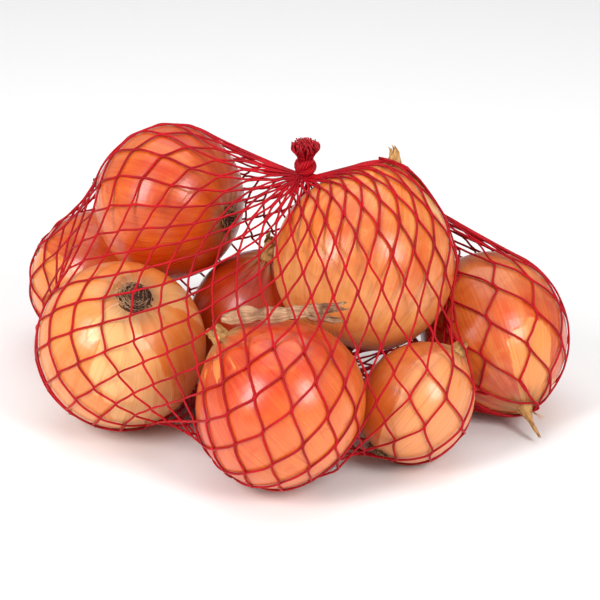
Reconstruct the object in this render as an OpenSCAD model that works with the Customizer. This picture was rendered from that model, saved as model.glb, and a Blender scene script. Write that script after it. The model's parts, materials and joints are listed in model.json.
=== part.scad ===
// Knotted mesh produce bag, filled with eight loose onions and lying on a flat surface.
// Units are millimetres. +Z is up, and Z = 0 is the surface the bag rests on.
// The origin is the middle of the bag's footprint.

/* [Net] */
// Thickness of the soft net wall that stands for the mesh
net_wall = 1; // [0.8:0.1:1.5]
// Free space between a bulb and the inside of the net
net_gap = 0.4; // [0.4:0.1:0.8]
// Thickness of the net where it lies on the surface
net_floor = 0.8; // [0.6:0.1:1]

/* [Knots] */
// Outer diameter of the top knot
knot_d = 10; // [8:0.5:12]
// Height of the cut tuft above the top knot
tuft_h = 8; // [5:0.5:10]
// Diameter of the cut tuft at its brushed end
tuft_d = 11; // [8:0.5:13]
// Outer diameter of the bottom knot
small_knot_d = 7; // [5:0.5:7]

/* [Onions] */
// Radius of a neck where it leaves its bulb
neck_r = 4; // [3:0.5:5]
// Radius of a small root disc
root_r = 5.5; // [4:0.5:6]
// Depth of the root beard below the root disc
root_h = 3; // [1:0.5:3]
// Width of the dry stem that lies over the front bulb
stem_w = 7; // [4:0.5:7]

/* [Hidden] */

$fn = 48;

// The onions, in the order of their node numbers:
// 1 upper left, 2 far left, 3 front left, 4 rear middle,
// 5 front middle, 6 upper right, 7 front right, 8 far right.
// Middle of each bulb
CENTRE = [
    [-53.9, 42, 83],
    [-89.9, 72, 33.5],
    [-73.9, -11, 37.5],
    [-14.9, 26, 33],
    [-4.9, -68, 36.5],
    [31.1, -9, 75],
    [52.1, -48, 27],
    [89.1, 7.5, 35.4]
];
// Largest radius of each bulb
GIRTH = [35, 32, 37, 31, 36, 39, 23.5, 32];
// Direction from each bulb's roots to its neck
NECK_DIR = [
    [-0.86, 0.51, 0.06],
    [0.85, -0.3, -0.4],
    [-0.22, 0.44, -0.87],
    [0.14, -0.17, 0.97],
    [-0.66, 0.2, 0.72],
    [0.29, 0.35, 0.89],
    [0.62, 0.3, 0.72],
    [0.3, -0.75, -0.59]
];
// Length of each bulb along its axis, as a share of its width
STRETCH = [0.93, 1, 0.96, 1, 0.95, 1, 1.16, 1.16];
// How far the shoulder rises to the neck, as a share of the girth
SHOULDER = [0.12, 0.1, 0.04, 0.12, 0.1, 0.14, 0.06, 0.1];
// Length of the dry neck that is left on each bulb
NECK_L = [8, 6, 2, 10, 6, 9, 5, 15];
// Radius of each neck's tip
TIP_R = [2, 2.5, 3, 3.5, 3, 2.5, 2.5, 0.8];
// Size of each root disc, as a share of the small one
ROOT_SIZE = [1.2, 1, 1.45, 1, 1.1, 1.1, 1, 1];

// Where the shoulder's rise and the root hollow fade out, in degrees from the axis
shoulder_fade = 22;
root_fade = 24;
// Depth of the hollow round the roots, as a share of the girth
root_hollow = 0.06;
// Steps of a bulb's outline from neck to roots
outline_steps = 30;

// Onions whose dry necks have worked out through the net
POKING = [5, 7];
// Groups of onions that the net is stretched over, by index; 8 is the gathered top
SPANS = [
    [0, 1, 2, 3], [0, 2, 3, 4], [0, 3, 8], [0, 4, 8],
    [3, 5, 8], [4, 5, 8], [3, 4, 5, 6], [3, 5, 6, 7]
];
// Top of the gathered net, just under the knot
GATHER = [6.1, 16, 97];
gather_r = 4.5;
// Extra room over a shoulder, a neck tip, a root beard and the dry stem
shoulder_grow = 3.8;
trim_grow = 1.2;
// Facets round the rounded corners of the net
net_fn = 24;
small_fn = 12;
// Outward growth that keeps a faceted ball outside the true one
facet_grow = 1 / pow(cos(180 / net_fn), 2);

// Under the gathered end of the sleeve: a pocket between bulbs 2, 3 and 4
POCKET = [-37.9, 8, -3.5];
pocket_r = 12.5;

// Middle of the top knot and of the bottom knot
KNOT = [6.1, 16, 110];
SMALL_KNOT = [-40.9, 8, 3.9];

// Onion that the dry stem lies on, and points along the middle of the stem
STEM_ON = 4;
STEM = [
    [-28.9, -63, 72.5], [-22.9, -65, 74.5], [-14.9, -66, 75.8], [-5.9, -66, 76.2],
    [3.1, -64, 76], [12.1, -62, 75.2], [22.1, -59, 74]
];
stem_t = 2;
stem_lean = 50;

function unit(v) = v / norm(v);

// Distance of a bulb's skin from its middle, at an angle from the neck
function skin_r(i, a) =
    GIRTH[i] * (1 + SHOULDER[i] * exp(-pow(a / shoulder_fade, 2))
    - root_hollow * exp(-pow((180 - a) / root_fade, 2)));

function neck_base(i) = STRETCH[i] * skin_r(i, 0);

function first_angle(i) = asin(neck_r / skin_r(i, 0));

function disc_r(i) = root_r * ROOT_SIZE[i];

function last_angle(i) = 180 - asin(disc_r(i) / skin_r(i, 180));

// Distance from a bulb's middle to its root disc
function disc_base(i) = -STRETCH[i] * skin_r(i, last_angle(i)) * cos(last_angle(i));

// Puts children with their own +Z along an onion's axis, at its middle
module at_onion(i) {
    d = unit(NECK_DIR[i]);
    translate(CENTRE[i])
        rotate([0, acos(d[2]), atan2(d[1], d[0])])
            children();
}

module bulb(i) {
    first = first_angle(i);
    step = (last_angle(i) - first) / outline_steps;
    skin = [for (s = [0:outline_steps])
        let (a = first + s * step, r = skin_r(i, a))
        [r * sin(a), STRETCH[i] * r * cos(a)]];
    top = skin[0][1];
    foot = skin[outline_steps][1];
    color("darkorange")
        at_onion(i)
            rotate_extrude()
                polygon(concat([[0, top]], skin, [[0, foot]]));
}

// Dry neck: narrows above the shoulder, then opens a little where it was cut
module neck(i) {
    base = STRETCH[i] * skin_r(i, first_angle(i)) * cos(first_angle(i));
    l = NECK_L[i];
    waist = min(neck_r * 0.8, TIP_R[i] + 0.4);
    color("burlywood")
        at_onion(i)
            translate([0, 0, base])
                rotate_extrude()
                    polygon([
                        [0, 0], [neck_r, 0], [(neck_r + waist) / 2, 0.2 * l],
                        [waist, 0.45 * l], [waist, 0.65 * l],
                        [TIP_R[i], l], [0, 0.9 * l]
                    ]);
}

// Root disc with its short dried beard
module roots(i) {
    r = disc_r(i);
    color("saddlebrown")
        at_onion(i)
            translate([0, 0, -disc_base(i)])
                rotate_extrude()
                    polygon([
                        [0, 0], [r, 0], [0.9 * r, -0.5 * root_h],
                        [0.6 * r, -root_h], [0, -0.8 * root_h]
                    ]);
}

// The room that one onion takes inside the net, grown outwards
module onion_room(i, grow) {
    at_onion(i) {
        scale([1, 1, STRETCH[i]])
            sphere(r = (GIRTH[i] + net_gap) * facet_grow + grow, $fn = net_fn);
        translate([0, 0, neck_base(i) - neck_r])
            sphere(r = neck_r + shoulder_grow + grow, $fn = small_fn);
        translate([0, 0, -disc_base(i) - root_h - 0.5 * trim_grow - grow])
            cylinder(h = root_h + trim_grow, r = disc_r(i) + 0.5 * trim_grow + grow, $fn = net_fn);
        if (len(search(i, POKING)) == 0)
            translate([0, 0, neck_base(i) + NECK_L[i] - TIP_R[i]])
                sphere(r = TIP_R[i] + trim_grow + grow, $fn = small_fn);
    }
    if (i == STEM_ON)
        for (p = STEM)
            translate(p)
                sphere(r = stem_w / 2 + trim_grow + grow, $fn = small_fn);
}

// The gathered top of the net, grown outwards
module gather_room(grow) {
    translate(GATHER)
        sphere(r = gather_r + grow, $fn = small_fn);
}

// The bag's whole inside, grown outwards and cut off level at its floor
module bag_room(grow, floor_z) {
    difference() {
        for (span = SPANS)
            hull()
                for (i = span)
                    if (i < len(CENTRE)) onion_room(i, grow);
                    else gather_room(grow);
        translate([-200, -200, floor_z - 100])
            cube([400, 400, 100]);
    }
}

// Round hole where a dry neck has worked its way out through the net
module neck_hole(i) {
    at_onion(i)
        translate([0, 0, neck_base(i) - 2])
            cylinder(h = 40, r = neck_r + 0.8, $fn = net_fn);
}

module net_sleeve() {
    color("crimson")
        difference() {
            bag_room(net_wall, 0);
            difference() {
                bag_room(0, net_floor);
                translate(POCKET)
                    sphere(r = pocket_r + net_wall, $fn = net_fn);
            }
            translate(POCKET)
                sphere(r = pocket_r, $fn = net_fn);
            for (i = POKING)
                neck_hole(i);
        }
}

// Two crossed turns of gathered net round a tight core, standing along +Z
module wound_knot(d) {
    turn = d * 0.2;
    cylinder(h = d, r = 0.25 * d, center = true);
    for (tilt = [[35, 0, 20], [-48, 0, 75]])
        rotate(tilt)
            rotate_extrude()
                translate([d / 2 - turn, 0])
                    circle(r = turn);
}

// Cut ends of the gathered net, spread like a brush
module brush(h, d, base_d) {
    cylinder(h = 0.35 * h, d1 = base_d, d2 = 0.7 * d);
    translate([0, 0, 0.35 * h])
        cylinder(h = 0.45 * h, d1 = 0.7 * d, d2 = d);
    translate([0, 0, 0.8 * h])
        cylinder(h = 0.2 * h, d1 = d, d2 = 0.8 * d);
}

module top_knot() {
    color("crimson")
        translate(KNOT)
            wound_knot(knot_d);
}

module top_tuft() {
    color("firebrick")
        translate(KNOT + [0, 0, knot_d / 2])
            brush(tuft_h, tuft_d, 0.5 * knot_d);
}

module bottom_knot() {
    color("crimson")
        translate(SMALL_KNOT)
            rotate([0, 90, 0])
                wound_knot(small_knot_d);
}

module bottom_tuft() {
    color("firebrick")
        translate(SMALL_KNOT + [small_knot_d / 2, 0, 0])
            rotate([0, 90, 0])
                brush(0.9 * small_knot_d, small_knot_d, 0.5 * small_knot_d);
}

// Flat papery stem, swept over the front bulb
module dry_stem() {
    color("tan")
        for (s = [0:len(STEM) - 2])
            hull()
                for (p = [STEM[s], STEM[s + 1]])
                    translate(p)
                        rotate([stem_lean, 0, 0])
                            cube([0.5, stem_w, stem_t], center = true);
}

net_sleeve();
top_knot();
top_tuft();
bottom_knot();
bottom_tuft();
dry_stem();
for (i = [0:7]) {
    bulb(i);
    neck(i);
    roots(i);
}
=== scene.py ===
"""Looks of a knotted net bag of onions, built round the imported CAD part.

Lengths are worked out in millimetres in the part's own frame, and turned into metres
when a mesh is made.
"""

import json
import math

import bpy
import numpy as np
from mathutils import Matrix, Vector
from mathutils.bvhtree import BVHTree


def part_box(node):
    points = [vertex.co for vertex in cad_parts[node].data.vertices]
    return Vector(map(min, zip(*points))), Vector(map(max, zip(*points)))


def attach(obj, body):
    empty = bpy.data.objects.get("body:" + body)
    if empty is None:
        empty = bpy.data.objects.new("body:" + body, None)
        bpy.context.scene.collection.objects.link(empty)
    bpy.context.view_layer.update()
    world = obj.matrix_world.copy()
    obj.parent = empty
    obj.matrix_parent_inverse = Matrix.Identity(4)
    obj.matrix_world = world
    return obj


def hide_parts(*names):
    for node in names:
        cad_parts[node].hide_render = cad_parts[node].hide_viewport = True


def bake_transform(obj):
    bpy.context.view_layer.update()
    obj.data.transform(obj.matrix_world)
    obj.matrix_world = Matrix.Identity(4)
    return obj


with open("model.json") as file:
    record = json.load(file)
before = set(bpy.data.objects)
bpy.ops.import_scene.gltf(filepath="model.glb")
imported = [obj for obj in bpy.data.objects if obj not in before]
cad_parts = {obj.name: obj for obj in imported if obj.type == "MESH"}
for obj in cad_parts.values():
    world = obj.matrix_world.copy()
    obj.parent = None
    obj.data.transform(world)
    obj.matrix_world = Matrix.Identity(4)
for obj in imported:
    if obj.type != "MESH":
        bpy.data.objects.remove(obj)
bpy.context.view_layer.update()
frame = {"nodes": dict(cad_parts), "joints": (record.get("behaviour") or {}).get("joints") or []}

MM = 0.001

# ---------------------------------------------------------------- driving values

# The knitting: meshes round the sleeve, rows of joints along it, and lengths in mm
MESHES = 50
ROWS = 23
JOINT_LENGTH = 1.3
LEG_LENGTH = 12.8
LEG_STEPS = 3
STRAND_RADIUS = 0.5
GATHERED_RADIUS = 0.44
STRAND_SIDES = 6

# How the net lies: its pull, its unevenness, its room over the skins and its hold on them
NET_TIGHTNESS = 0.95
REST_VARIATION = 0.05
SKIN_CLEARANCE = 0.12
GRIP = 0.3
LEG_STIFFNESS = 0.12
JOINT_STIFFNESS = 0.06
SWEEPS = 600

# Between these X values, in mm, the meshes crowd together towards the far onion
CROWDED_FROM = 40.0
CROWDED_TO = 85.0
CROWDING = 2.0

# Round the knot, the net gives as the knot lifts: less with distance outwards and downwards
GATHER_FAR = 23.0
GATHER_OUT = 0.8
GATHER_DOWN = 0.6
SECTORS = 8

# Onions whose dry necks have worked out through the net
POKING = (6, 8)


# ---------------------------------------------------------------- small helpers

def unit(v):
    v = np.asarray(v, float)
    return v / np.maximum(np.linalg.norm(v, axis=-1, keepdims=True), 1e-12)


def ramp(value, low, high):
    """0 below low, 1 above high, and smooth between."""
    t = np.clip((value - low) / (high - low), 0, 1)
    return t * t * (3 - 2 * t)


def node_points(name):
    """The corners of a CAD node's mesh, in mm."""
    mesh = frame["nodes"][name].data
    co = np.empty(len(mesh.vertices) * 3, np.float32)
    mesh.vertices.foreach_get("co", co)
    return co.reshape(-1, 3).astype(float) / MM


def box_middle(name):
    low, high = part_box(name)
    return np.array((low + high) / 2) / MM


def ripple(points, seed, scale, count=24):
    """A smooth random field from -1 to 1 or so: a sum of plane waves, about scale apart."""
    rng = np.random.default_rng(seed)
    waves = rng.normal(size=(count, 3)) * (2 * math.pi / np.asarray(scale, float)) * 0.6
    phase = rng.uniform(0, 2 * math.pi, count)
    return np.cos(points @ waves.T + phase).sum(-1) / math.sqrt(count / 2)


def frame_on(axis):
    """A rotation whose third column is axis."""
    z = unit(axis)
    x = unit(np.cross([0.0, 0.0, 1.0] if abs(z[2]) < 0.9 else [0.0, 1.0, 0.0], z))
    return np.column_stack([x, np.cross(z, x), z])


def make_piece(name, corners, faces, material, body):
    """A mesh piece from corners in mm, riding on a body."""
    mesh = bpy.data.meshes.new(name)
    mesh.from_pydata((np.asarray(corners) * MM).tolist(), [], faces)
    mesh.materials.append(material)
    mesh.polygons.foreach_set("use_smooth", [True] * len(mesh.polygons))
    mesh.validate()
    piece = bpy.data.objects.new(name, mesh)
    bpy.context.scene.collection.objects.link(piece)
    if body:
        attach(piece, body)
    return piece


def add_attribute(piece, name, values):
    layer = piece.data.attributes.new(name, "FLOAT", "POINT")
    layer.data.foreach_set("value", np.asarray(values, np.float32).ravel())


def through(points, steps):
    """Catmull-Rom points through an array (..., n, 3), with steps between each pair."""
    p = np.concatenate([2 * points[..., :1, :] - points[..., 1:2, :], points,
                        2 * points[..., -1:, :] - points[..., -2:-1, :]], axis=-2)
    a, b, c, d = (p[..., k:p.shape[-2] - 3 + k, None, :] for k in range(4))
    t = (np.arange(steps) / steps)[:, None]
    curve = 0.5 * (2 * b + (c - a) * t + (2 * a - 5 * b + 4 * c - d) * t**2
                   + (3 * b - a - 3 * c + d) * t**3)
    curve = curve.reshape(*points.shape[:-2], -1, 3)
    return np.concatenate([curve, points[..., -1:, :]], axis=-2)


def tube_rings(paths, radius, sides):
    """Rings round paths (w, n, 3): an array (w, n, sides, 3). radius is a number or (w, n)."""
    tangent = unit(np.gradient(paths, axis=1))
    side = np.empty_like(paths)
    start = np.where(np.abs(tangent[:, :1, 2:]) < 0.8, [[[0, 0, 1.0]]], [[[1.0, 0, 0]]])
    side[:, 0] = unit(np.cross(tangent[:, 0], start[:, 0]))
    for k in range(1, paths.shape[1]):
        t = tangent[:, k]
        carried = side[:, k - 1] - (side[:, k - 1] * t).sum(-1, keepdims=True) * t
        side[:, k] = unit(carried)
    other = np.cross(tangent, side)
    turn = np.arange(sides) * 2 * math.pi / sides
    width = np.broadcast_to(np.asarray(radius, float), paths.shape[:2])[..., None, None]
    return paths[:, :, None] + width * (np.cos(turn)[:, None] * side[:, :, None]
                                        + np.sin(turn)[:, None] * other[:, :, None])


def tube_faces(count, length, sides):
    """Faces of closed tubes: count tubes of length rings, numbered as tube_rings lays them."""
    ring = np.arange(sides)
    base = (np.arange(count)[:, None] * length + np.arange(length - 1)) * sides
    a = base[..., None] + ring
    b = base[..., None] + np.roll(ring, -1)
    faces = np.stack([a, b, b + sides, a + sides], -1).reshape(-1, 4).tolist()
    for w in range(count):
        low = w * length * sides
        high = low + (length - 1) * sides
        faces.append((low + ring[::-1]).tolist())
        faces.append((high + ring).tolist())
    return faces


def tubes(paths, radius, sides):
    """Corners and faces of closed tubes round paths (w, n, 3)."""
    rings = tube_rings(paths, radius, sides)
    return rings.reshape(-1, 3), tube_faces(*rings.shape[:3])


# ---------------------------------------------------------------- onions

class Onion:
    """One onion's middle, axis and outline, read from the frame."""

    def __init__(self, joint):
        self.body = joint["child"]
        self.number = int(self.body.split("_")[1])
        self.centre = np.array(joint["pos_m"]) / MM
        self.axis = unit(joint["axis"])
        self.turn = frame_on(self.axis)
        rel = node_points(f"bulb_{self.number}") - self.centre
        along = rel @ self.axis
        across = np.linalg.norm(rel - np.outer(along, self.axis), axis=1)
        angle = np.round(np.arctan2(across, along), 3)
        reach = np.hypot(along, across)
        corners = np.unique(angle)
        skin = np.array([reach[angle == a].max() for a in corners])
        self.angles = np.linspace(0, math.pi, 361)
        rough = np.interp(self.angles, corners, skin)
        weights = np.exp(-np.linspace(-2, 2, 13) ** 2)
        padded = np.pad(rough, 6, mode="reflect")
        self.skin_table = np.convolve(padded, weights / weights.sum(), "valid")
        self.widest = self.skin_table.max()
        self.neck_start = self.edge(f"neck_{self.number}", 1)
        self.root_start = self.edge(f"roots_{self.number}", -1)

    def edge(self, node, sign):
        """Heights along the axis, and widths, of the neck or root piece: (start, end, radius)."""
        rel = node_points(node) - self.centre
        along = rel @ self.axis * sign
        across = np.linalg.norm(rel - np.outer(rel @ self.axis, self.axis), axis=1)
        return along.min(), along.max(), across.max()

    def skin(self, angle):
        return np.interp(angle, self.angles, self.skin_table)


ONIONS = sorted((Onion(j) for j in frame["joints"] if j["type"] == "hinge"), key=lambda o: o.number)


# ---------------------------------------------------------------- the net

class Net:
    """The knitted sleeve as particles: two for each joint and two along each leg."""

    def __init__(self):
        rng = np.random.default_rng(7)
        self.shape = (ROWS + 1, MESHES)
        self.top = box_middle("top_knot")
        self.top[2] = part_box("top_knot")[0][2] / MM
        self.bottom = box_middle("bottom_knot")
        self.bottom[0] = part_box("bottom_knot")[0][0] / MM
        nodes = self.first_places()
        up = np.gradient(nodes, axis=0)
        half = unit(up) * JOINT_LENGTH / 2
        low, high = nodes - half, nodes + half
        self.number = {}
        parts = []
        count = 0
        col = np.arange(MESHES)
        odd = (np.arange(ROWS) % 2)[:, None]
        self.right = (col + odd) % MESHES
        self.left = (col - 1 + odd) % MESHES
        rows_up = np.arange(1, ROWS + 1)[:, None]
        for key, points in (("low", low), ("high", high)):
            self.number[key] = count + np.arange(points[..., 0].size).reshape(points.shape[:2])
            parts.append(points.reshape(-1, 3))
            count += points[..., 0].size
        for key, target in (("R", self.right), ("L", self.left)):
            ends = low[rows_up, target]
            for k in range(1, LEG_STEPS):
                share = k / LEG_STEPS
                points = high[:-1] * (1 - share) + ends * share
                places = points[..., 0].size
                self.number[f"{key}{k}"] = count + np.arange(places).reshape(points.shape[:2])
                parts.append(points.reshape(-1, 3))
                count += places
        self.points = np.concatenate(parts)
        self.points += rng.normal(scale=0.4, size=self.points.shape)
        self.weight = np.ones(count)
        self.hold_ends()
        self.links = [(self.number["low"].ravel(), self.number["high"].ravel(), JOINT_LENGTH)]
        self.bends = []
        vary = 1 + rng.normal(scale=REST_VARIATION, size=(2, ROWS, MESHES))
        for side, (key, target) in enumerate((("R", self.right), ("L", self.left))):
            chain = [self.number["high"][:-1]]
            chain += [self.number[f"{key}{k}"] for k in range(1, LEG_STEPS)]
            chain.append(self.number["low"][rows_up, target])
            rest = (vary[side] * LEG_LENGTH / LEG_STEPS * NET_TIGHTNESS).ravel()
            for a, b in zip(chain, chain[1:]):
                self.links.append((a.ravel(), b.ravel(), rest))
            for a, m, b in zip(chain, chain[1:], chain[2:]):
                self.bends.append((a.ravel(), m.ravel(), b.ravel(), LEG_STIFFNESS))
            low_up, high_up = self.number["low"][rows_up, target], self.number["high"][rows_up, target]
            last = self.number[f"{key}{LEG_STEPS - 1}"]
            self.bends.append((last.ravel(), low_up.ravel(), high_up.ravel(), JOINT_STIFFNESS))
            self.bends.append((self.number["low"][:-1].ravel(), self.number["high"][:-1].ravel(),
                               self.number[f"{key}1"].ravel(), JOINT_STIFFNESS))

    def first_places(self):
        """Joints spread evenly from the bottom knot to the top one over the CAD net's outside."""
        mesh = frame["nodes"]["net_sleeve"].data
        tree = BVHTree.FromPolygons([v.co for v in mesh.vertices],
                                    [list(p.vertices) for p in mesh.polygons])
        middle = (self.top + self.bottom) / 2
        middle[2] -= 4
        turn = frame_on(self.top - self.bottom)
        far = 0.4
        polar = np.radians(np.linspace(4, 176, 130))
        places = np.empty((ROWS + 1, MESHES, 3))

        def outside(polar_angle, around):
            way = turn @ np.array([math.sin(polar_angle) * math.cos(around),
                                   math.sin(polar_angle) * math.sin(around), -math.cos(polar_angle)])
            hit = tree.ray_cast(Vector(middle * MM + way * far), Vector(-way))[0]
            return None if hit is None else np.array(hit) / MM

        turns = np.linspace(0, 2 * math.pi, 361)
        girth = np.array([outside(math.pi / 2, a) for a in turns])
        crowd = 1 + CROWDING * ramp(girth[1:, 0], CROWDED_FROM, CROWDED_TO)
        steps = np.linalg.norm(np.diff(girth, axis=0), axis=1) * crowd
        round_it = np.concatenate([[0], np.cumsum(steps)])
        for half_step in (0, 1):
            rows = np.arange(half_step, ROWS + 1, 2)
            for c in range(MESHES):
                around = np.interp((c + half_step / 2) / MESHES * round_it[-1], round_it, turns)
                line = [self.bottom]
                for p in polar:
                    hit = outside(p, around)
                    if hit is not None:
                        line.append(hit)
                line.append(self.top)
                line = np.array(line)
                run = np.concatenate([[0], np.cumsum(np.linalg.norm(np.diff(line, axis=0), axis=1))])
                for r in rows:
                    places[r, c] = [np.interp(r / ROWS * run[-1], run, line[:, k]) for k in range(3)]
        return places

    def hold_ends(self):
        """Fixes the last row inside the top knot and the first inside the bottom one."""
        col = np.arange(MESHES) + 0.5 * (ROWS % 2)
        around = 2 * math.pi * col / MESHES
        turn = frame_on(self.top - self.bottom)
        ring = np.stack([np.cos(around), np.sin(around), 0 * around], -1) @ turn.T
        ring[:, 2] = 0
        ring = unit(ring)
        deep = 1 + 0.35 * np.cos(np.arange(MESHES) * 2.4)
        top = self.top + ring * 2.6 * deep[:, None]
        low, high = self.number["low"], self.number["high"]
        self.points[low[-1]] = top + [0, 0, 0.2]
        self.points[high[-1]] = self.top + ring * 1.6 * deep[:, None] + [0, 0, 0.2 + JOINT_LENGTH]
        around = 2 * math.pi * np.arange(MESHES) / MESHES
        ring = np.stack([0 * around, np.cos(around), np.sin(around)], -1)
        self.points[high[0]] = self.bottom + ring * 1.7 * deep[:, None] + [0.3, 0, 0]
        self.points[low[0]] = self.bottom + ring * 1.2 * deep[:, None] + [0.3 + JOINT_LENGTH, 0, 0]
        for row in (low[-1], high[-1], low[0], high[0]):
            self.weight[row] = 0

    def relax(self, sweeps, keep_out):
        """Lets the net pull itself tight over what it holds."""
        p, w = self.points, self.weight
        fixed = w == 0
        held = p[fixed].copy()
        before = p.copy()
        for sweep in range(sweeps):
            glide = 0.85 if sweep < sweeps * 0.8 else 0.5
            step = (p - before) * glide
            length = np.linalg.norm(step, axis=1, keepdims=True)
            step *= np.minimum(1, 1.5 / np.maximum(length, 1e-9))
            before = p.copy()
            p += step
            p[fixed] = held
            for a, b, rest in self.links:
                d = p[b] - p[a]
                length = np.maximum(np.linalg.norm(d, axis=1), 1e-9)
                over = length - rest
                stiff = np.where(over > 0, 0.6, 0.08)
                both = np.maximum(w[a] + w[b], 1e-9)
                d *= (stiff * over / length / both)[:, None]
                p[a] += d * w[a][:, None]
                p[b] -= d * w[b][:, None]
            for a, m, b, stiff in self.bends:
                p[m] += stiff * ((p[a] + p[b]) / 2 - p[m]) * w[m][:, None]
            loose = p.copy()
            keep_out(p, self)
            touching = np.abs(p - loose).sum(1) > 1e-4
            p[touching] += GRIP * (before[touching] - p[touching])
            before[touching] = p[touching]
            p[fixed] = held
        keep_out(p, self)


class Obstacles:
    """What the net may not enter: bulbs, beards, necks, the stem, knots and the floor."""

    def __init__(self):
        self.balls = []
        self.posts = []
        for o in ONIONS:
            start, end, width = o.root_start
            rise, reach = end - start + 0.5, width + 0.5
            cap = (rise**2 + reach**2) / (2 * rise)
            self.balls.append((o.centre - o.axis * (start + rise - cap), cap))
            neck_low, neck_high, neck_width = o.neck_start
            if o.number in POKING:
                self.posts.append((o.centre + o.axis * (neck_low - 6), o.axis, 45.0, neck_width + 0.3))
            else:
                tip = o.centre + o.axis * (neck_high - 1.5)
                self.balls.append((tip, 0.9 * neck_width))
                self.balls.append((o.centre + o.axis * neck_low, neck_width))
        for p in through(STEM_LINE, 3):
            self.balls.append((p, 3.7))
        for name in ("bottom_knot", "bottom_tuft"):
            low, high = (np.array(v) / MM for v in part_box(name))
            self.balls.append(((low + high) / 2, (high - low).max() / 2))

    def __call__(self, p, net=None):
        room = STRAND_RADIUS + SKIN_CLEARANCE
        for o in ONIONS:
            rel = p - o.centre
            dist = np.linalg.norm(rel, axis=1)
            near = np.flatnonzero(dist < o.widest + room)
            rel, dist = rel[near], dist[near]
            angle = np.arccos(np.clip(rel @ o.axis / np.maximum(dist, 1e-9), -1, 1))
            limit = o.skin(angle) + room
            inside = dist < limit
            p[near[inside]] = o.centre + rel[inside] * (limit[inside] / dist[inside])[:, None]
        for centre, radius in self.balls:
            rel = p - centre
            dist = np.linalg.norm(rel, axis=1)
            near = dist < radius + room
            p[near] = centre + rel[near] * ((radius + room) / np.maximum(dist[near], 1e-9))[:, None]
        if net is not None:
            for base, axis, height, radius in self.posts:
                self.part_round(p, net, base, axis, height, radius + room)
        np.maximum(p[:, 2], STRAND_RADIUS + 0.04, out=p[:, 2])

    @staticmethod
    def part_round(p, net, base, axis, height, radius):
        """Pushes whole links sideways off a post, so that no strand straddles it."""
        for a, b, rest in net.links:
            middle = (p[a] + p[b]) / 2 - base
            along = middle @ axis
            aside = np.linalg.norm(middle - np.outer(along, axis), axis=1)
            near = np.flatnonzero((along > 0) & (along < height) & (aside < radius + 3))
            if not len(near):
                continue
            pa, pb = p[a[near]] - base, p[b[near]] - base
            pa -= np.outer(pa @ axis, axis)
            pb -= np.outer(pb @ axis, axis)
            d = pb - pa
            share = np.clip(-(pa * d).sum(1) / np.maximum((d * d).sum(1), 1e-9), 0, 1)
            close = pa + d * share[:, None]
            gap = np.linalg.norm(close, axis=1)
            push = np.maximum(radius - gap, 0)[:, None] * close / np.maximum(gap, 1e-6)[:, None]
            p[a[near]] += push * net.weight[a[near]][:, None]
            p[b[near]] += push * net.weight[b[near]][:, None]


def strand_paths(net):
    """The knitted chains: each runs up the sleeve, joined to its left and right neighbours in turn."""
    p = net.points
    low, high = p[net.number["low"]], p[net.number["high"]]
    up = unit(high - low)
    across = np.roll(low, -1, axis=1) - np.roll(low, 1, axis=1)
    across = unit(across - (across * up).sum(-1, keepdims=True) * up)
    chains = np.arange(2 * MESHES)
    rows = []
    for r in range(ROWS + 1):
        if r % 2 == 0:
            node, side = chains // 2, np.where(chains % 2 == 0, -1, 1)
        else:
            node, side = ((chains - 1) // 2) % MESHES, np.where(chains % 2 == 1, -1, 1)
        apart = across[r, node] * (side * STRAND_RADIUS * 0.92)[:, None]
        rows.append(low[r, node] + apart)
        rows.append(high[r, node] + apart)
        if r < ROWS:
            for k in range(1, LEG_STEPS):
                right = p[net.number[f"R{k}"][r, node]]
                left = p[net.number[f"L{k}"][r, node]]
                rows.append(np.where(side[:, None] > 0, right, left))
    return np.stack(rows, axis=1)


def node_corners_by_slice(name, slices):
    """Middles of a long CAD node's mesh in equal slices along X."""
    points = node_points(name)
    edges = np.linspace(points[:, 0].min(), points[:, 0].max(), slices + 1)
    middles = []
    for a, b in zip(edges, edges[1:]):
        inside = points[(points[:, 0] >= a - 1e-6) & (points[:, 0] <= b + 1e-6)]
        if len(inside):
            middles.append(inside.mean(axis=0))
    return np.array(middles)


STEM_LINE = node_corners_by_slice("dry_stem", 7)


# ---------------------------------------------------------------- materials

def tint(red, green, blue):
    """A colour given as screen values from 0 to 255."""
    def linear(c):
        c /= 255
        return c / 12.92 if c <= 0.04045 else ((c + 0.055) / 1.055) ** 2.4
    return linear(red), linear(green), linear(blue), 1.0


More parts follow.
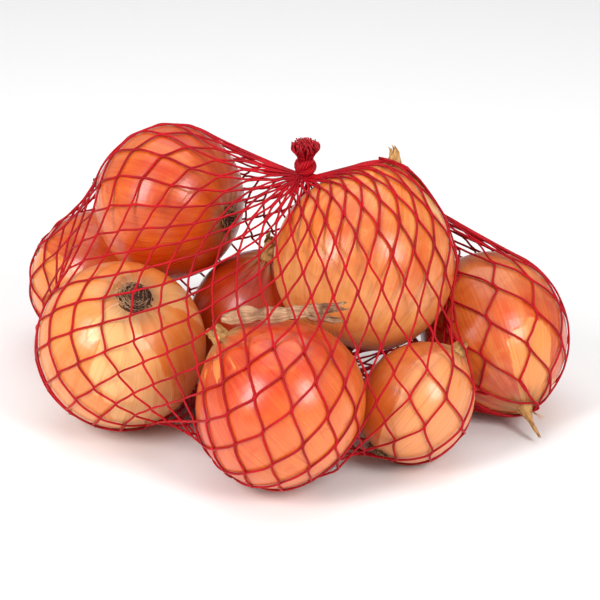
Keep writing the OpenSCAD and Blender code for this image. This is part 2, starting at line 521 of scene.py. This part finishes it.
class Shader:
    """A node material, put together a node at a time."""

    def __init__(self, name, **sockets):
        self.material = bpy.data.materials.new(name)
        self.material.use_nodes = True
        self.nodes = self.material.node_tree.nodes
        self.links = self.material.node_tree.links
        self.surface = self.nodes["Principled BSDF"]
        for key, value in sockets.items():
            self.surface.inputs[key.replace("_", " ")].default_value = value

    def add(self, kind, inputs=None, **settings):
        node = self.nodes.new(kind)
        for key, value in settings.items():
            setattr(node, key, value)
        for key, value in (inputs or {}).items():
            if isinstance(value, bpy.types.NodeSocket):
                self.links.new(value, node.inputs[key])
            else:
                node.inputs[key].default_value = value
        return node

    def place(self):
        """The point on the piece, in mm."""
        where = self.add("ShaderNodeTexCoord").outputs["Object"]
        scaled = self.add("ShaderNodeVectorMath", {0: where, "Scale": 1 / MM}, operation="SCALE")
        return scaled.outputs[0]

    def math(self, operation, a, b=0.0):
        return self.add("ShaderNodeMath", {0: a, 1: b}, operation=operation).outputs[0]

    def remap(self, value, low, high, to_low=0.0, to_high=1.0):
        node = self.add("ShaderNodeMapRange", {"Value": value, "From Min": low, "From Max": high,
                                               "To Min": to_low, "To Max": to_high})
        return node.outputs[0]

    def noise(self, where, scale, detail=3.0, roughness=0.55, distortion=0.0):
        return self.add("ShaderNodeTexNoise", {"Vector": where, "Scale": scale, "Detail": detail,
                                               "Roughness": roughness,
                                               "Distortion": distortion}).outputs["Fac"]

    def blend(self, share, a, b):
        """Colour a where share is 0, and b where it is 1."""
        node = self.add("ShaderNodeMix", {"Factor": share}, data_type="RGBA")
        for socket, value in ((node.inputs[6], a), (node.inputs[7], b)):
            if isinstance(value, bpy.types.NodeSocket):
                self.links.new(value, socket)
            else:
                socket.default_value = value
        return node.outputs[2]

    def attribute(self, name):
        return self.add("ShaderNodeAttribute", attribute_name=name).outputs["Fac"]

    def round_axis(self, where, round_scale, along_scale):
        """Coordinates that vary round the piece's own Z axis and only slowly along it."""
        split = self.add("ShaderNodeSeparateXYZ", {0: where})
        flat = self.add("ShaderNodeCombineXYZ", {0: split.outputs[0], 1: split.outputs[1]})
        ring = self.add("ShaderNodeVectorMath", {0: flat.outputs[0]}, operation="NORMALIZE")
        ring = self.add("ShaderNodeVectorMath", {0: ring.outputs[0], "Scale": round_scale},
                        operation="SCALE")
        along = self.math("MULTIPLY", split.outputs[2], along_scale)
        high = self.add("ShaderNodeCombineXYZ", {2: along})
        return self.add("ShaderNodeVectorMath", {0: ring.outputs[0], 1: high.outputs[0]}).outputs[0]

    def finish(self, colour, roughness, height, bump_mm, strength):
        self.links.new(colour, self.surface.inputs["Base Color"])
        self.links.new(roughness, self.surface.inputs["Roughness"])
        bump = self.add("ShaderNodeBump", {"Height": height, "Distance": bump_mm * MM,
                                           "Strength": strength})
        self.links.new(bump.outputs[0], self.surface.inputs["Normal"])
        return self.material


def skin_material(name, base, deep, pale, inner, seed, fade, reach):
    """Dry onion skin: veins and fine streaks from neck to roots, glossy, paler where a layer is off."""
    s = Shader(name, Specular_IOR_Level=0.5, Coat_Weight=0.4, Coat_Roughness=0.2)
    where = s.place()
    shift = (seed * 37.0, seed * 11.0, seed * 5.0)
    shifted = s.add("ShaderNodeVectorMath", {0: where, 1: shift}).outputs[0]
    wide = s.noise(s.round_axis(where, 3.2 + 0.2 * seed, 0.02), 1.0, 2.0, 0.45)
    streaks = s.noise(s.round_axis(where, 24.0 + seed % 3, 0.015), 1.0, 5.0, 0.7)
    fine = s.noise(s.round_axis(where, 70.0, 0.03), 1.0, 3.0, 0.6)
    broad = s.noise(shifted, 0.028, 2.0, 0.5, 0.4)
    blotch = s.noise(shifted, 0.11, 4.0, 0.62, 0.5)
    vein = s.noise(s.round_axis(where, 13.0, 0.012), 1.0, 1.0)
    vein = s.remap(s.math("ABSOLUTE", s.math("SUBTRACT", vein, 0.5)), 0.0, 0.02, 1.0, 0.0)
    colour = s.blend(s.remap(broad, 0.36, 0.64), deep, base)
    height_on = s.add("ShaderNodeSeparateXYZ", {0: where}).outputs[2]
    faded = s.remap(height_on, -0.35 * reach * fade, 0.75 * reach * fade, 0.0, abs(fade))
    colour = s.blend(faded, colour, pale)
    colour = s.blend(s.remap(wide, 0.42, 0.7, 0.0, 0.4), colour, pale)
    colour = s.blend(s.remap(streaks, 0.45, 0.75, 0.0, 0.3), colour, pale)
    colour = s.blend(s.remap(blotch, 0.54, 0.72, 0.0, 0.3), colour, pale)
    colour = s.blend(s.remap(blotch, 0.3, 0.46, 0.45, 0.0), colour, deep)
    inside = s.blend(s.remap(streaks, 0.35, 0.65), inner, pale)
    colour = s.blend(s.attribute("layer"), inside, colour)
    colour = s.blend(s.math("MULTIPLY", vein, 0.4), colour, deep)
    colour = s.blend(s.remap(fine, 0.4, 0.7, 0.0, 0.3), colour, deep)
    dry = s.attribute("dry")
    dead = s.blend(s.remap(fine, 0.4, 0.6), tint(128, 74, 34), tint(196, 138, 78))
    colour = s.blend(dry, colour, dead)
    rough = s.math("ADD", s.remap(fine, 0.3, 0.7, 0.24, 0.4), s.math("MULTIPLY", dry, 0.25))
    height = s.math("ADD", s.math("MULTIPLY", vein, 0.6), s.math("MULTIPLY", fine, 0.8))
    height = s.math("ADD", height, s.math("MULTIPLY", streaks, 0.5))
    return s.finish(colour, rough, height, 0.12, 0.45)


def paper_material(name, light, mid, dark, lengthwise=False):
    """Dead, papery leaf: fibres along the piece, dull and uneven. Lengthwise is along X."""
    s = Shader(name, Specular_IOR_Level=0.3)
    where = s.place()
    if lengthwise:
        fibres = s.add("ShaderNodeVectorMath", {0: where, 1: (0.06, 1.3, 1.3)},
                       operation="MULTIPLY").outputs[0]
    else:
        fibres = s.round_axis(where, 7.0, 0.12)
    grain = s.noise(fibres, 1.0, 4.0, 0.65, 0.5)
    patch = s.noise(where, 0.12 if lengthwise else 0.35, 4.0, 0.65, 0.6)
    colour = s.blend(s.remap(grain, 0.35, 0.65), mid, light)
    colour = s.blend(s.remap(patch, 0.46, 0.68, 0.0, 0.85), colour, dark)
    rough = s.remap(patch, 0.3, 0.7, 0.62, 0.85)
    return s.finish(colour, rough, grain, 0.2, 0.7)


def fibre_material(name, light, dark, roughness):
    """Fine threads or root hairs, each of its own tone, and mottled along its length."""
    s = Shader(name, Specular_IOR_Level=0.4)
    where = s.place()
    mottle = s.math("ADD", s.noise(where, 0.75, 3.0, 0.6), s.attribute("tone"))
    grain = s.noise(where, 3.0, 2.0, 0.6)
    colour = s.blend(s.remap(mottle, 0.38, 0.62), dark, light)
    rough = s.remap(grain, 0.3, 0.7, roughness - 0.08, roughness + 0.1)
    return s.finish(colour, rough, grain, 0.06, 0.5)


def net_material(name, light, dark):
    """Knitted plastic thread: stitches along each strand, tinted lighter as a painted highlight, and a
    soft shine.
    """
    s = Shader(name, Specular_IOR_Level=0.22)
    where = s.place()
    wave = {"Vector": where, "Scale": 0.9, "Distortion": 3.0, "Detail": 1.0, "Detail Scale": 1.5}
    stitch_and_highlight = s.add("ShaderNodeTexWave", wave, bands_direction="DIAGONAL").outputs["Fac"]
    patch = s.noise(where, 0.08, 2.0)
    colour = s.blend(s.remap(patch, 0.35, 0.65), dark, light)
    # The stitches are tinted a lighter red: a painted highlight along each strand
    colour = s.blend(s.math("MULTIPLY", stitch_and_highlight, 0.25), colour, tint(214, 8, 32))
    rough = s.remap(stitch_and_highlight, 0.0, 1.0, 0.58, 0.44)
    return s.finish(colour, rough, stitch_and_highlight, 0.08, 0.6)


# ---------------------------------------------------------------- onion pieces

# Colours of each onion's outer skin: body, deeper streaks, paler streaks, and the skin below
SKINS = {
    1: (tint(222, 80, 4), tint(186, 42, 0), tint(242, 138, 52), tint(238, 158, 70)),
    2: (tint(222, 86, 14), tint(192, 50, 0), tint(238, 134, 60), tint(238, 152, 76)),
    3: (tint(234, 138, 58), tint(220, 108, 30), tint(238, 178, 112), tint(238, 180, 112)),
    4: (tint(184, 50, 6), tint(142, 24, 0), tint(196, 84, 30), tint(196, 104, 44)),
    5: (tint(216, 66, 0), tint(190, 36, 0), tint(238, 136, 60), tint(236, 144, 68)),
    6: (tint(230, 120, 32), tint(212, 80, 4), tint(247, 192, 116), tint(247, 196, 122)),
    7: (tint(222, 112, 38), tint(188, 66, 10), tint(234, 150, 84), tint(232, 150, 92)),
    8: (tint(218, 84, 8), tint(180, 42, 0), tint(242, 160, 80), tint(232, 140, 70)),
}
# How far the skin fades: above 0 towards the neck, below 0 towards the roots
FADE = {1: 0.25, 2: 0.3, 3: 0.5, 4: -0.15, 5: -0.65, 6: -0.5, 7: 0.3, 8: -0.4}
# How much of the outer skin has come off each onion, from 0 to 1
PEELED = {1: 0.05, 2: 0.1, 3: 0.14, 4: 0.1, 5: 0.06, 6: 0.08, 7: 0.4, 8: 0.22}
SKIN_THICKNESS = 0.22
# The most that a bulb's skin stands out from the CAD bulb, so that the net stays clear of it
SKIN_RISE = 0.04
BULB_ROWS = 150
BULB_COLUMNS = 300


def onion_piece(onion, name, corners, faces, material, replaced):
    """A piece built in the onion's own frame, +Z towards the neck, in mm."""
    piece = make_piece(name, corners, faces, material, None)
    place = Matrix(onion.turn.tolist()).to_4x4()
    place.translation = Vector((onion.centre * MM).tolist())
    piece.matrix_world = place
    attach(piece, onion.body)
    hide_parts(replaced)
    return piece


def bulb_piece(onion):
    """The bulb, with torn outer skin, gathered folds at the neck and a pucker at the roots."""
    number = onion.number
    start = math.atan2(onion.neck_start[2], onion.neck_start[0])
    end = math.pi - math.atan2(onion.root_start[2], onion.root_start[0])
    angle = np.linspace(start, end, BULB_ROWS)[:, None]
    turn = (np.arange(BULB_COLUMNS) * 2 * math.pi / BULB_COLUMNS)[None, :]
    flat = np.stack([np.cos(turn) + 0 * angle, np.sin(turn) + 0 * angle, 0 * turn + angle], -1)
    away = np.stack([np.sin(angle) * np.cos(turn), np.sin(angle) * np.sin(turn),
                     np.cos(angle) + 0 * turn], -1)
    tear = ripple(flat, 40 + number, (2.6, 2.6, 4.0))
    tear += 0.16 * ripple(flat, 60 + number, (0.6, 0.6, 1.2))
    tear += 0.05 * ripple(flat, 80 + number, (0.12, 0.12, 0.5))
    limit = np.quantile(tear, PEELED[number])
    layer = ramp(tear, limit - 0.02, limit + 0.02)
    near_neck = np.exp(-(((angle - start) / 0.3) ** 2))
    near_root = np.exp(-(((end - angle) / 0.2) ** 2))
    folds = ripple(flat, 100 + number, (0.42, 0.42, 4.0))
    lobes = ripple(flat, 120 + number, (2.4, 2.4, 6.0))
    height = -SKIN_THICKNESS * (1 - layer)
    height += 0.45 * (folds - 1) * near_neck + 0.25 * (folds - 1) * near_root
    height += 0.14 * (lobes - 1) * np.sin(angle)
    height = np.minimum(height, SKIN_RISE)
    reach = onion.skin(angle) + height
    corners = (away * reach[..., None]).reshape(-1, 3)
    ring = np.arange(BULB_COLUMNS)
    row = np.arange(BULB_ROWS - 1)[:, None] * BULB_COLUMNS
    a, b = row + ring, row + np.roll(ring, -1)
    faces = np.stack([a, a + BULB_COLUMNS, b + BULB_COLUMNS, b], -1).reshape(-1, 4).tolist()
    faces.append(ring.tolist())
    faces.append(((BULB_ROWS - 1) * BULB_COLUMNS + ring[::-1]).tolist())
    base, deep, pale, inner = SKINS[number]
    material = skin_material(f"onion_skin_{number}", base, deep, pale, inner, number, FADE[number],
                             onion.widest)
    piece = onion_piece(onion, f"onion_{number}_bulb", corners, faces, material,
                        f"bulb_{number}")
    dry = np.clip(near_neck * (0.75 + 0.5 * folds), 0, 1) * ramp(near_neck, 0.3, 0.95)
    dry = np.maximum(dry, 0.8 * near_root)
    add_attribute(piece, "layer", layer)
    add_attribute(piece, "dry", dry)
    return piece


def papery_tube(path, wide, thick, seed, folds=6, jag=0.25, roll=0.0, sides=36):
    """A dry hollow leaf along a path: folded walls, a ragged open end and an inside."""
    rng = np.random.default_rng(seed)
    n = len(path)
    t = np.linspace(0, 1, n)
    tangent = unit(np.gradient(path, axis=0))
    side = np.empty_like(path)
    side[0] = unit(np.cross(tangent[0], [0, 0, 1.0] if abs(tangent[0][2]) < 0.8 else [1.0, 0, 0]))
    for k in range(1, n):
        side[k] = unit(side[k - 1] - (side[k - 1] @ tangent[k]) * tangent[k])
    other = np.cross(tangent, side)
    roll = np.broadcast_to(roll, n)
    turn = np.arange(sides) * 2 * math.pi / sides
    phase = rng.uniform(0, 2 * math.pi, 4)
    fold = (np.sin(folds * turn[None, :] + phase[0] + 1.5 * t[:, None])
            + 0.6 * np.sin((folds + 3) * turn[None, :] + phase[1] - 2.0 * t[:, None])
            + 0.4 * np.sin(2 * turn[None, :] + phase[2] + 3.0 * t[:, None]))
    size = 1 + fold * (0.06 + 0.1 * t[:, None])
    ragged = (np.sin(3 * turn + phase[3]) + 0.8 * np.sin(7 * turn + phase[0])
              + 0.6 * np.sin(12 * turn + phase[1]))
    length = np.linalg.norm(np.diff(path, axis=0), axis=1).sum()
    torn = ramp(t, 0.55, 1.0)[:, None] * jag * length * (0.5 + 0.32 * ragged)

    def ring(k, shrink):
        across = np.cos(turn) * (wide[k] - shrink) * size[k]
        through_it = np.sin(turn) * (thick[k] - 0.6 * shrink) * size[k]
        x = math.cos(roll[k]) * across - math.sin(roll[k]) * through_it
        y = math.sin(roll[k]) * across + math.cos(roll[k]) * through_it
        back = torn[k] + (0.1 if shrink else 0.0)
        return path[k] + x[:, None] * side[k] + y[:, None] * other[k] - back[:, None] * tangent[k]

    wall = min(0.5 * min(thick[-1], wide[-1]), 0.35)
    rings = [ring(k, 0.0) for k in range(n)]
    rings += [ring(k, wall) for k in range(n - 1, int(n * 0.45), -1)]
    return np.concatenate(rings), tube_faces(1, len(rings), sides)


# Way that a dry neck's tip leans, in mm, in the part's frame
NECK_LEAN = {6: (-3.4, -0.6, -0.4), 8: (1.2, -0.4, 0.6), 5: (-0.8, -0.4, 0.2), 4: (0.9, -0.5, 0.0)}
# Thickness of a neck's tip as a share of its width, depth of its tears, and length left
NECK_FLAT = {6: 0.5, 8: 0.5}
NECK_JAG = {6: 0.34, 8: 0.12}
NECK_LENGTH = {1: 0.74}


def neck_piece(onion):
    """The dry neck: twisted papery skin round a hollow, torn off ragged at its end."""
    number = onion.number
    start, end, width = onion.neck_start
    rel = node_points(f"neck_{number}") - onion.centre
    along = rel @ onion.axis
    top = rel[along > end - 0.2]
    tip = np.linalg.norm(top - np.outer(top @ onion.axis, onion.axis), axis=1).max()
    end = start + (end - start) * NECK_LENGTH.get(number, 1.0)
    t = np.linspace(0, 1, 20)
    lean = onion.turn.T @ np.array(NECK_LEAN.get(number, (0.3, -0.3, 0.0)))
    path = np.stack([0 * t, 0 * t, start - 1.0 + (end - start + 1.0) * t], -1) + np.outer(t**2, lean)
    waist = min(0.8 * width, tip + 0.4)
    profile = np.interp(t, [0, 0.2, 0.5, 0.7, 1.0],
                        [width * 1.02, (width + waist) / 2, waist, waist, tip])
    thick = profile * (1 - (1 - NECK_FLAT.get(number, 0.8)) * t)
    corners, faces = papery_tube(path, profile, thick, 210 + number, jag=NECK_JAG.get(number, 0.3),
                                 roll=0.9 * t)
    if number == 8:
        more, more_faces = sprig(start, end, onion)
        faces += [[len(corners) + v for v in f] for f in more_faces]
        corners = np.concatenate([corners, more])
    paper = DARK_NECK_PAPER if number == 1 else NECK_PAPER
    return onion_piece(onion, f"onion_{number}_neck", corners, faces, paper,
                       f"neck_{number}")


def sprig(start, end, onion):
    """Stray fibres that have split away from the long neck."""
    rng = np.random.default_rng(231)
    t = np.linspace(0, 1, 9)[None, :]
    count = 6
    across = onion.turn.T @ np.array([1.0, 0.25, 0.35])
    reach = rng.uniform(0.35, 0.75, (count, 1)) * (end - start)
    wander = rng.normal(scale=1.0, size=(count, 1, 3)) * (t**2)[..., None] * 0.8
    path = np.zeros((count, 9, 3))
    path[..., 2] = start + 0.3 + reach * t * 0.8
    path += across * (reach * t * 0.55 + 0.8)[..., None] + wander
    thin = 0.2 * (1 - 0.75 * t) * np.ones((count, 1))
    return tubes(path, thin, 5)


def roots_piece(onion):
    """The root disc with its beard of short, curled, dried roots."""
    number = onion.number
    start, end, width = onion.root_start
    rng = np.random.default_rng(300 + number)
    depth = end - start
    count = int(6 * width**2)
    out = width * 0.94 * np.sqrt(rng.uniform(0, 1, count))
    turn = rng.uniform(0, 2 * math.pi, count)
    t = np.linspace(0, 1, 7)[None, :]
    length = rng.uniform(0.35, 1.0, count)[:, None] ** 1.3
    splay = rng.uniform(-0.4, 1.0, count)[:, None]
    curl = rng.normal(scale=1.2, size=(count, 1))
    radius = np.abs(out[:, None] + 0.16 * width * splay * length * t**1.3)
    radius = np.minimum(radius, width)
    swing = turn[:, None] + curl * t**2 * 0.4
    drop = depth * 0.95 * length * np.sin(t * (1.2 + 0.9 * np.abs(splay)))
    drop = drop * (1 - 0.35 * (out[:, None] / width) ** 3)
    path = np.stack([radius * np.cos(swing), radius * np.sin(swing), -start + 0.2 - drop], -1)
    path = through(path, 2)
    taper = 1 - 0.45 * np.linspace(0, 1, path.shape[1])
    thin = 0.135 * taper[None, :] * rng.uniform(0.7, 1.4, count)[:, None]
    corners, faces = tubes(path, thin, 5)
    light_side = ramp(np.cos(turn - 2.2 * number) * out / width, -0.6, 0.8)
    tone = np.where(rng.uniform(size=count) < 0.3 + 0.5 * light_side, 0.3, -0.25)
    tone = tone + rng.normal(scale=0.1, size=count)
    tone = np.repeat(tone, path.shape[1] * 5)
    sides, rows = 48, 9
    spread = np.linspace(1.0, 0.0, rows)[:-1, None]
    around = (np.arange(sides) * 2 * math.pi / sides)[None, :]
    bumps = ripple(np.stack([np.cos(around) * spread, np.sin(around) * spread,
                             0 * around + 0 * spread], -1), 320 + number, 0.6)
    sunk = -start + 0.5 - 1.3 * (1 - spread**2) - 0.25 * bumps * (1 - spread**4)
    disc = np.stack([width * 1.02 * spread * np.cos(around), width * 1.02 * spread * np.sin(around),
                     sunk], -1).reshape(-1, 3)
    base = len(corners)
    disc_faces = []
    for r in range(rows - 2):
        for k in range(sides):
            a, b = base + r * sides + k, base + r * sides + (k + 1) % sides
            disc_faces.append([a, b, b + sides, a + sides][::-1])
    disc_faces.append([base + (rows - 2) * sides + k for k in range(sides)][::-1])
    disc_faces.append([base + k for k in range(sides)])
    corners = np.concatenate([corners, disc])
    piece = onion_piece(onion, f"onion_{number}_roots", corners, faces + disc_faces, ROOT_FIBRE,
                        f"roots_{number}")
    add_attribute(piece, "tone", np.concatenate([tone, np.full(len(disc), -0.2)]))
    return piece


def stem_piece():
    """The long dry stem lying over the front bulb, flat, twisted and frayed at its far end."""
    line = STEM_LINE.copy()
    line[0, 0], line[-1, 0] = (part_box("dry_stem")[k][0] / MM for k in (0, 1))
    path = through(line, 8)
    t = np.linspace(0, 1, len(path))
    path = path + np.stack([0 * t, 0.5 * np.sin(9 * t), 0.45 * np.sin(11 * t + 1)], -1)
    pinch = 1 - 0.4 * np.exp(-(((t - 0.22) / 0.04) ** 2)) - 0.22 * np.exp(-(((t - 0.5) / 0.05) ** 2))
    pinch -= 0.3 * np.exp(-(((t - 0.72) / 0.05) ** 2))
    wide = 3.5 * pinch * np.interp(t, [0, 0.05, 0.14, 0.45, 0.8, 1.0], [0.45, 0.9, 1.0, 0.8, 0.85, 1.2])
    thick = np.interp(t, [0, 0.08, 0.22, 0.5, 0.85, 1.0], [0.8, 1.5, 1.1, 0.6, 0.55, 0.4])
    roll = math.radians(55) + 0.6 * np.sin(2 * math.pi * t) - 0.5 * np.exp(-(((t - 0.24) / 0.08) ** 2))
    corners, faces = papery_tube(path, wide, thick, 401, folds=9, jag=0.24, roll=roll, sides=64)
    piece = make_piece("dry_stem_leaf", corners, faces, STEM_PAPER, "net")
    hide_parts("dry_stem")
    return piece


# ---------------------------------------------------------------- net pieces

def split_tubes(rings, owner):
    """Corners and faces of each owner's stretch of the tubes, closed at every cut."""
    count, length, sides = rings.shape[:3]
    ring = np.arange(sides)
    found = {}
    flat = rings.reshape(-1, 3)
    for who in np.unique(owner):
        mine = owner == who
        w, k = np.nonzero(mine)
        base = ((w * length + k) * sides)[:, None]
        quads = np.stack([base + ring, base + np.roll(ring, -1), base + sides + np.roll(ring, -1),
                          base + sides + ring], -1).reshape(-1, 4)
        before = np.concatenate([np.zeros((count, 1), bool), mine[:, :-1]], axis=1)
        after = np.concatenate([mine[:, 1:], np.zeros((count, 1), bool)], axis=1)
        caps = []
        for open_end, shift, order in ((mine & ~before, 0, ring[::-1]), (mine & ~after, 1, ring)):
            w, k = np.nonzero(open_end)
            caps.append(((w * length + k + shift) * sides)[:, None] + order)
        caps = np.concatenate(caps)
        every = np.concatenate([quads.ravel(), caps.ravel()])
        used, every = np.unique(every, return_inverse=True)
        cut = quads.size
        faces = every[:cut].reshape(-1, 4).tolist() + every[cut:].reshape(-1, sides).tolist()
        found[who] = (flat[used], faces)
    return found


def net_pieces(net, keep_out):
    """The knitted net: four main panels on the net's body, and the gathers that give with the knot."""
    paths = through(strand_paths(net), 2)
    flat = paths.reshape(-1, 3)
    keep_out(flat)
    paths = flat.reshape(paths.shape)
    knot_gap = np.linalg.norm(paths - net.top, axis=-1)
    radius = np.interp(knot_gap, [6, 26], [GATHERED_RADIUS, STRAND_RADIUS])
    rings = tube_rings(paths, radius, STRAND_SIDES)
    middle = (paths[:, 1:] + paths[:, :-1]) / 2
    flat = middle[..., :2] - net.top[:2]
    away = np.arctan2(flat[..., 1], flat[..., 0])
    sector = np.round(away / (2 * math.pi / SECTORS)).astype(int) % SECTORS
    mid_angle = sector * 2 * math.pi / SECTORS
    out = flat[..., 0] * np.cos(mid_angle) + flat[..., 1] * np.sin(mid_angle)
    gathered = GATHER_OUT * out + GATHER_DOWN * (net.top[2] - middle[..., 2]) < GATHER_FAR
    centre = (net.top + net.bottom) / 2
    quarter = np.floor(np.arctan2(middle[..., 1] - centre[1], middle[..., 0] - centre[0])
                       / (math.pi / 2)).astype(int) % 4
    owner = np.where(gathered, 10 + sector, quarter)
    names = {0: "net_back_right", 1: "net_back_left", 2: "net_front_left", 3: "net_front_right"}
    replaced = False
    for who, (corners, faces) in split_tubes(rings, owner).items():
        if who < 10:
            piece = make_piece(names[who], corners, faces, NET_RED, "net")
            if not replaced:
                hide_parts("net_sleeve")
                replaced = True
            continue
        number = who - 10
        piece = make_piece(f"net_gather_{number + 1}", corners, faces, NET_RED, None)
        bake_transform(piece)


GOLDEN_ANGLE = 2.39996


def turned(points, about_x, about_z):
    """Points turned about X and then about Z, in degrees."""
    x, z = math.radians(about_x), math.radians(about_z)
    rx = np.array([[1, 0, 0], [0, math.cos(x), -math.sin(x)], [0, math.sin(x), math.cos(x)]])
    rz = np.array([[math.cos(z), -math.sin(z), 0], [math.sin(z), math.cos(z), 0], [0, 0, 1]])
    return points @ (rz @ rx).T


def knot_piece(name, middle, size, upright, body, replaced, seed):
    """Gathered net pulled through two turns of itself, every turn a bundle of strands."""
    rng = np.random.default_rng(seed)
    parts, faces = [], []
    count = 0
    loop = size * 0.3
    bundle = size * 0.145
    strand = size * 0.055
    around = np.linspace(0, 2 * math.pi, 49)
    for (about_x, about_z), lift in (((35, 20), 0.0), ((-48, 75), 0.06 * size)):
        paths = []
        for k in range(9):
            phase = 2 * math.pi * k / 9 + around + rng.normal(scale=0.08)
            swell = bundle * (1 + 0.1 * np.sin(3 * around + k))
            out = loop + swell * np.cos(phase)
            paths.append(np.stack([out * np.cos(around), out * np.sin(around),
                                   swell * np.sin(phase) + lift], -1))
        paths = turned(np.array(paths), about_x, about_z)
        corners, more = tubes(paths, strand, STRAND_SIDES)
        faces += [[count + v for v in f] for f in more]
        count += len(corners)
        parts.append(corners)
    t = np.linspace(-0.62, 0.62, 13)[None, :] * size
    n = 26
    angle = (np.arange(n) * 2.4)[:, None] + 0.08 * t
    out = (0.19 * size * np.sqrt((np.arange(n) + 0.5) / n))[:, None] * (1 + 0.5 * (t / size) ** 2)
    core = np.stack([out * np.cos(angle), out * np.sin(angle), t + 0 * angle], -1)
    corners, more = tubes(core, strand, STRAND_SIDES)
    faces += [[count + v for v in f] for f in more]
    parts.append(corners)
    corners = np.concatenate(parts) @ np.asarray(upright).T + middle
    piece = make_piece(name, corners, faces, NET_RED, body)
    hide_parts(replaced)
    return piece


def tuft_piece(name, foot, height, width, upright, body, replaced, seed, count):
    """The cut ends of the net above a knot, brushed apart."""
    rng = np.random.default_rng(seed)
    share = np.sqrt((np.arange(count) + 0.5) / count)[:, None]
    turn = (np.arange(count) * GOLDEN_ANGLE)[:, None] + rng.normal(scale=0.15, size=(count, 1))
    t = np.linspace(0, 1, 7)[None, :]
    long = rng.uniform(0.78, 1.0, (count, 1)) * (1 - 0.12 * share)
    spread = (0.3 * width + (0.28 * width) * ramp(t, 0.0, 0.75)) * share
    swing = turn + rng.normal(scale=0.25, size=(count, 1)) * t**2
    wobble = 0.12 * np.sin(6 * t + rng.uniform(0, 6, (count, 1)))
    rise = -0.2 * height + 1.2 * height * long * t * (1 - 0.1 * share * t)
    path = np.stack([(spread + wobble) * np.cos(swing), (spread + wobble) * np.sin(swing), rise], -1)
    thin = np.broadcast_to(0.034 * width * (1 - 0.25 * t), path.shape[:2])
    corners, faces = tubes(path, thin, 5)
    corners = corners @ np.asarray(upright).T + foot
    piece = make_piece(name, corners, faces, TUFT_RED, body)
    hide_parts(replaced)
    return piece


# ---------------------------------------------------------------- the object

NET_RED = net_material("red_net", tint(188, 0, 20), tint(146, 0, 20))
TUFT_RED = fibre_material("red_fibre", tint(204, 4, 28), tint(128, 2, 20), 0.6)
NECK_PAPER = paper_material("dry_neck", tint(216, 170, 106), tint(178, 122, 64), tint(104, 62, 30))
DARK_NECK_PAPER = paper_material("dark_neck", tint(134, 92, 58), tint(96, 60, 36), tint(52, 30, 18))
STEM_PAPER = paper_material("dry_stem", tint(204, 164, 126), tint(158, 110, 78), tint(104, 60, 44),
                            lengthwise=True)
ROOT_FIBRE = fibre_material("root_fibre", tint(188, 150, 112), tint(70, 36, 26), 0.75)

for onion in ONIONS:
    bulb_piece(onion)
    neck_piece(onion)
    roots_piece(onion)
stem_piece()

KEEP_OUT = Obstacles()
NET = Net()
NET.relax(SWEEPS, KEEP_OUT)
net_pieces(NET, KEEP_OUT)

UPRIGHT = np.eye(3)
SIDEWAYS = np.array([[0, 0, 1.0], [0, 1.0, 0], [-1.0, 0, 0]])
# The net's two knotted ends: which way they point, the body, the seed and the cut ends
ENDS = (
    ("top", UPRIGHT, "knot", 501, 150),
    ("bottom", SIDEWAYS, "net", 511, 70),
)
for end, upright, body, seed, count in ENDS:
    knot_low, knot_high = (np.array(v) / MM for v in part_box(f"{end}_knot"))
    tuft_low, tuft_high = (np.array(v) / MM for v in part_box(f"{end}_tuft"))
    way = upright @ np.array([0, 0, 1.0])
    size = (knot_high - knot_low) @ np.abs(way)
    tall = (tuft_high - tuft_low) @ np.abs(way)
    foot = (tuft_low + tuft_high) / 2 - way * tall / 2
    wide = (tuft_high - tuft_low)[1]
    knot_piece(f"{end}_knot_turns", (knot_low + knot_high) / 2, size, upright, body,
               f"{end}_knot", seed)
    tuft_piece(f"{end}_tuft_ends", foot, tall, wide, upright, body,
               f"{end}_tuft", seed + 1, count)


# ---------------------------------------------------------------- camera, light and floor

CAMERA_PLACE = (-0.0049, -0.9668, 0.4749)
CAMERA_AIM = (0.0036, 0.0, 0.0537)
CAMERA_LENS = 145.2
LIT_POINT = (0, 0, 0.05)
WORLD_STRENGTH = 0.46
FLOOR_GREY = 0.93
FLOOR_REACH = 4.0


def aimed(obj, place, aim):
    obj.location = place
    obj.rotation_euler = (Vector(aim) - Vector(place)).to_track_quat("-Z", "Y").to_euler()
    bpy.context.scene.collection.objects.link(obj)
    return obj


camera_data = bpy.data.cameras.new("camera")
camera_data.sensor_width = 36
camera_data.lens = CAMERA_LENS
bpy.context.scene.camera = aimed(bpy.data.objects.new("camera", camera_data), CAMERA_PLACE, CAMERA_AIM)


def softbox(name, place, width, height, watts):
    lamp = bpy.data.lights.new(name, "AREA")
    lamp.shape = "RECTANGLE"
    lamp.size, lamp.size_y = width, height
    lamp.energy = watts
    aimed(bpy.data.objects.new(name, lamp), place, LIT_POINT)


softbox("left_softbox", (-0.8, -0.7, 0.75), 0.42, 0.7, 10.5)
softbox("right_softbox", (0.65, -0.8, 0.75), 0.38, 0.6, 8)
softbox("top_softbox", (0, 0.25, 1.1), 1.1, 1.0, 4.6)

world = bpy.data.worlds.new("studio")
world.use_nodes = True
world.node_tree.nodes["Background"].inputs["Color"].default_value = (1, 1, 1, 1)
world.node_tree.nodes["Background"].inputs["Strength"].default_value = WORLD_STRENGTH
bpy.context.scene.world = world
bpy.context.scene.view_settings.view_transform = "Standard"

floor_mesh = bpy.data.meshes.new("floor")
floor_corners = [(x * FLOOR_REACH, y * FLOOR_REACH, 0) for x, y in ((-1, -1), (1, -1), (1, 1), (-1, 1))]
floor_mesh.from_pydata(floor_corners, [], [(0, 1, 2, 3)])
floor_look = Shader("floor", Roughness=0.9, Specular_IOR_Level=0.1)
floor_look.surface.inputs["Base Color"].default_value = (FLOOR_GREY, FLOOR_GREY, FLOOR_GREY, 1)
floor_mesh.materials.append(floor_look.material)
floor = bpy.data.objects.new("floor", floor_mesh)
bpy.context.scene.collection.objects.link(floor)
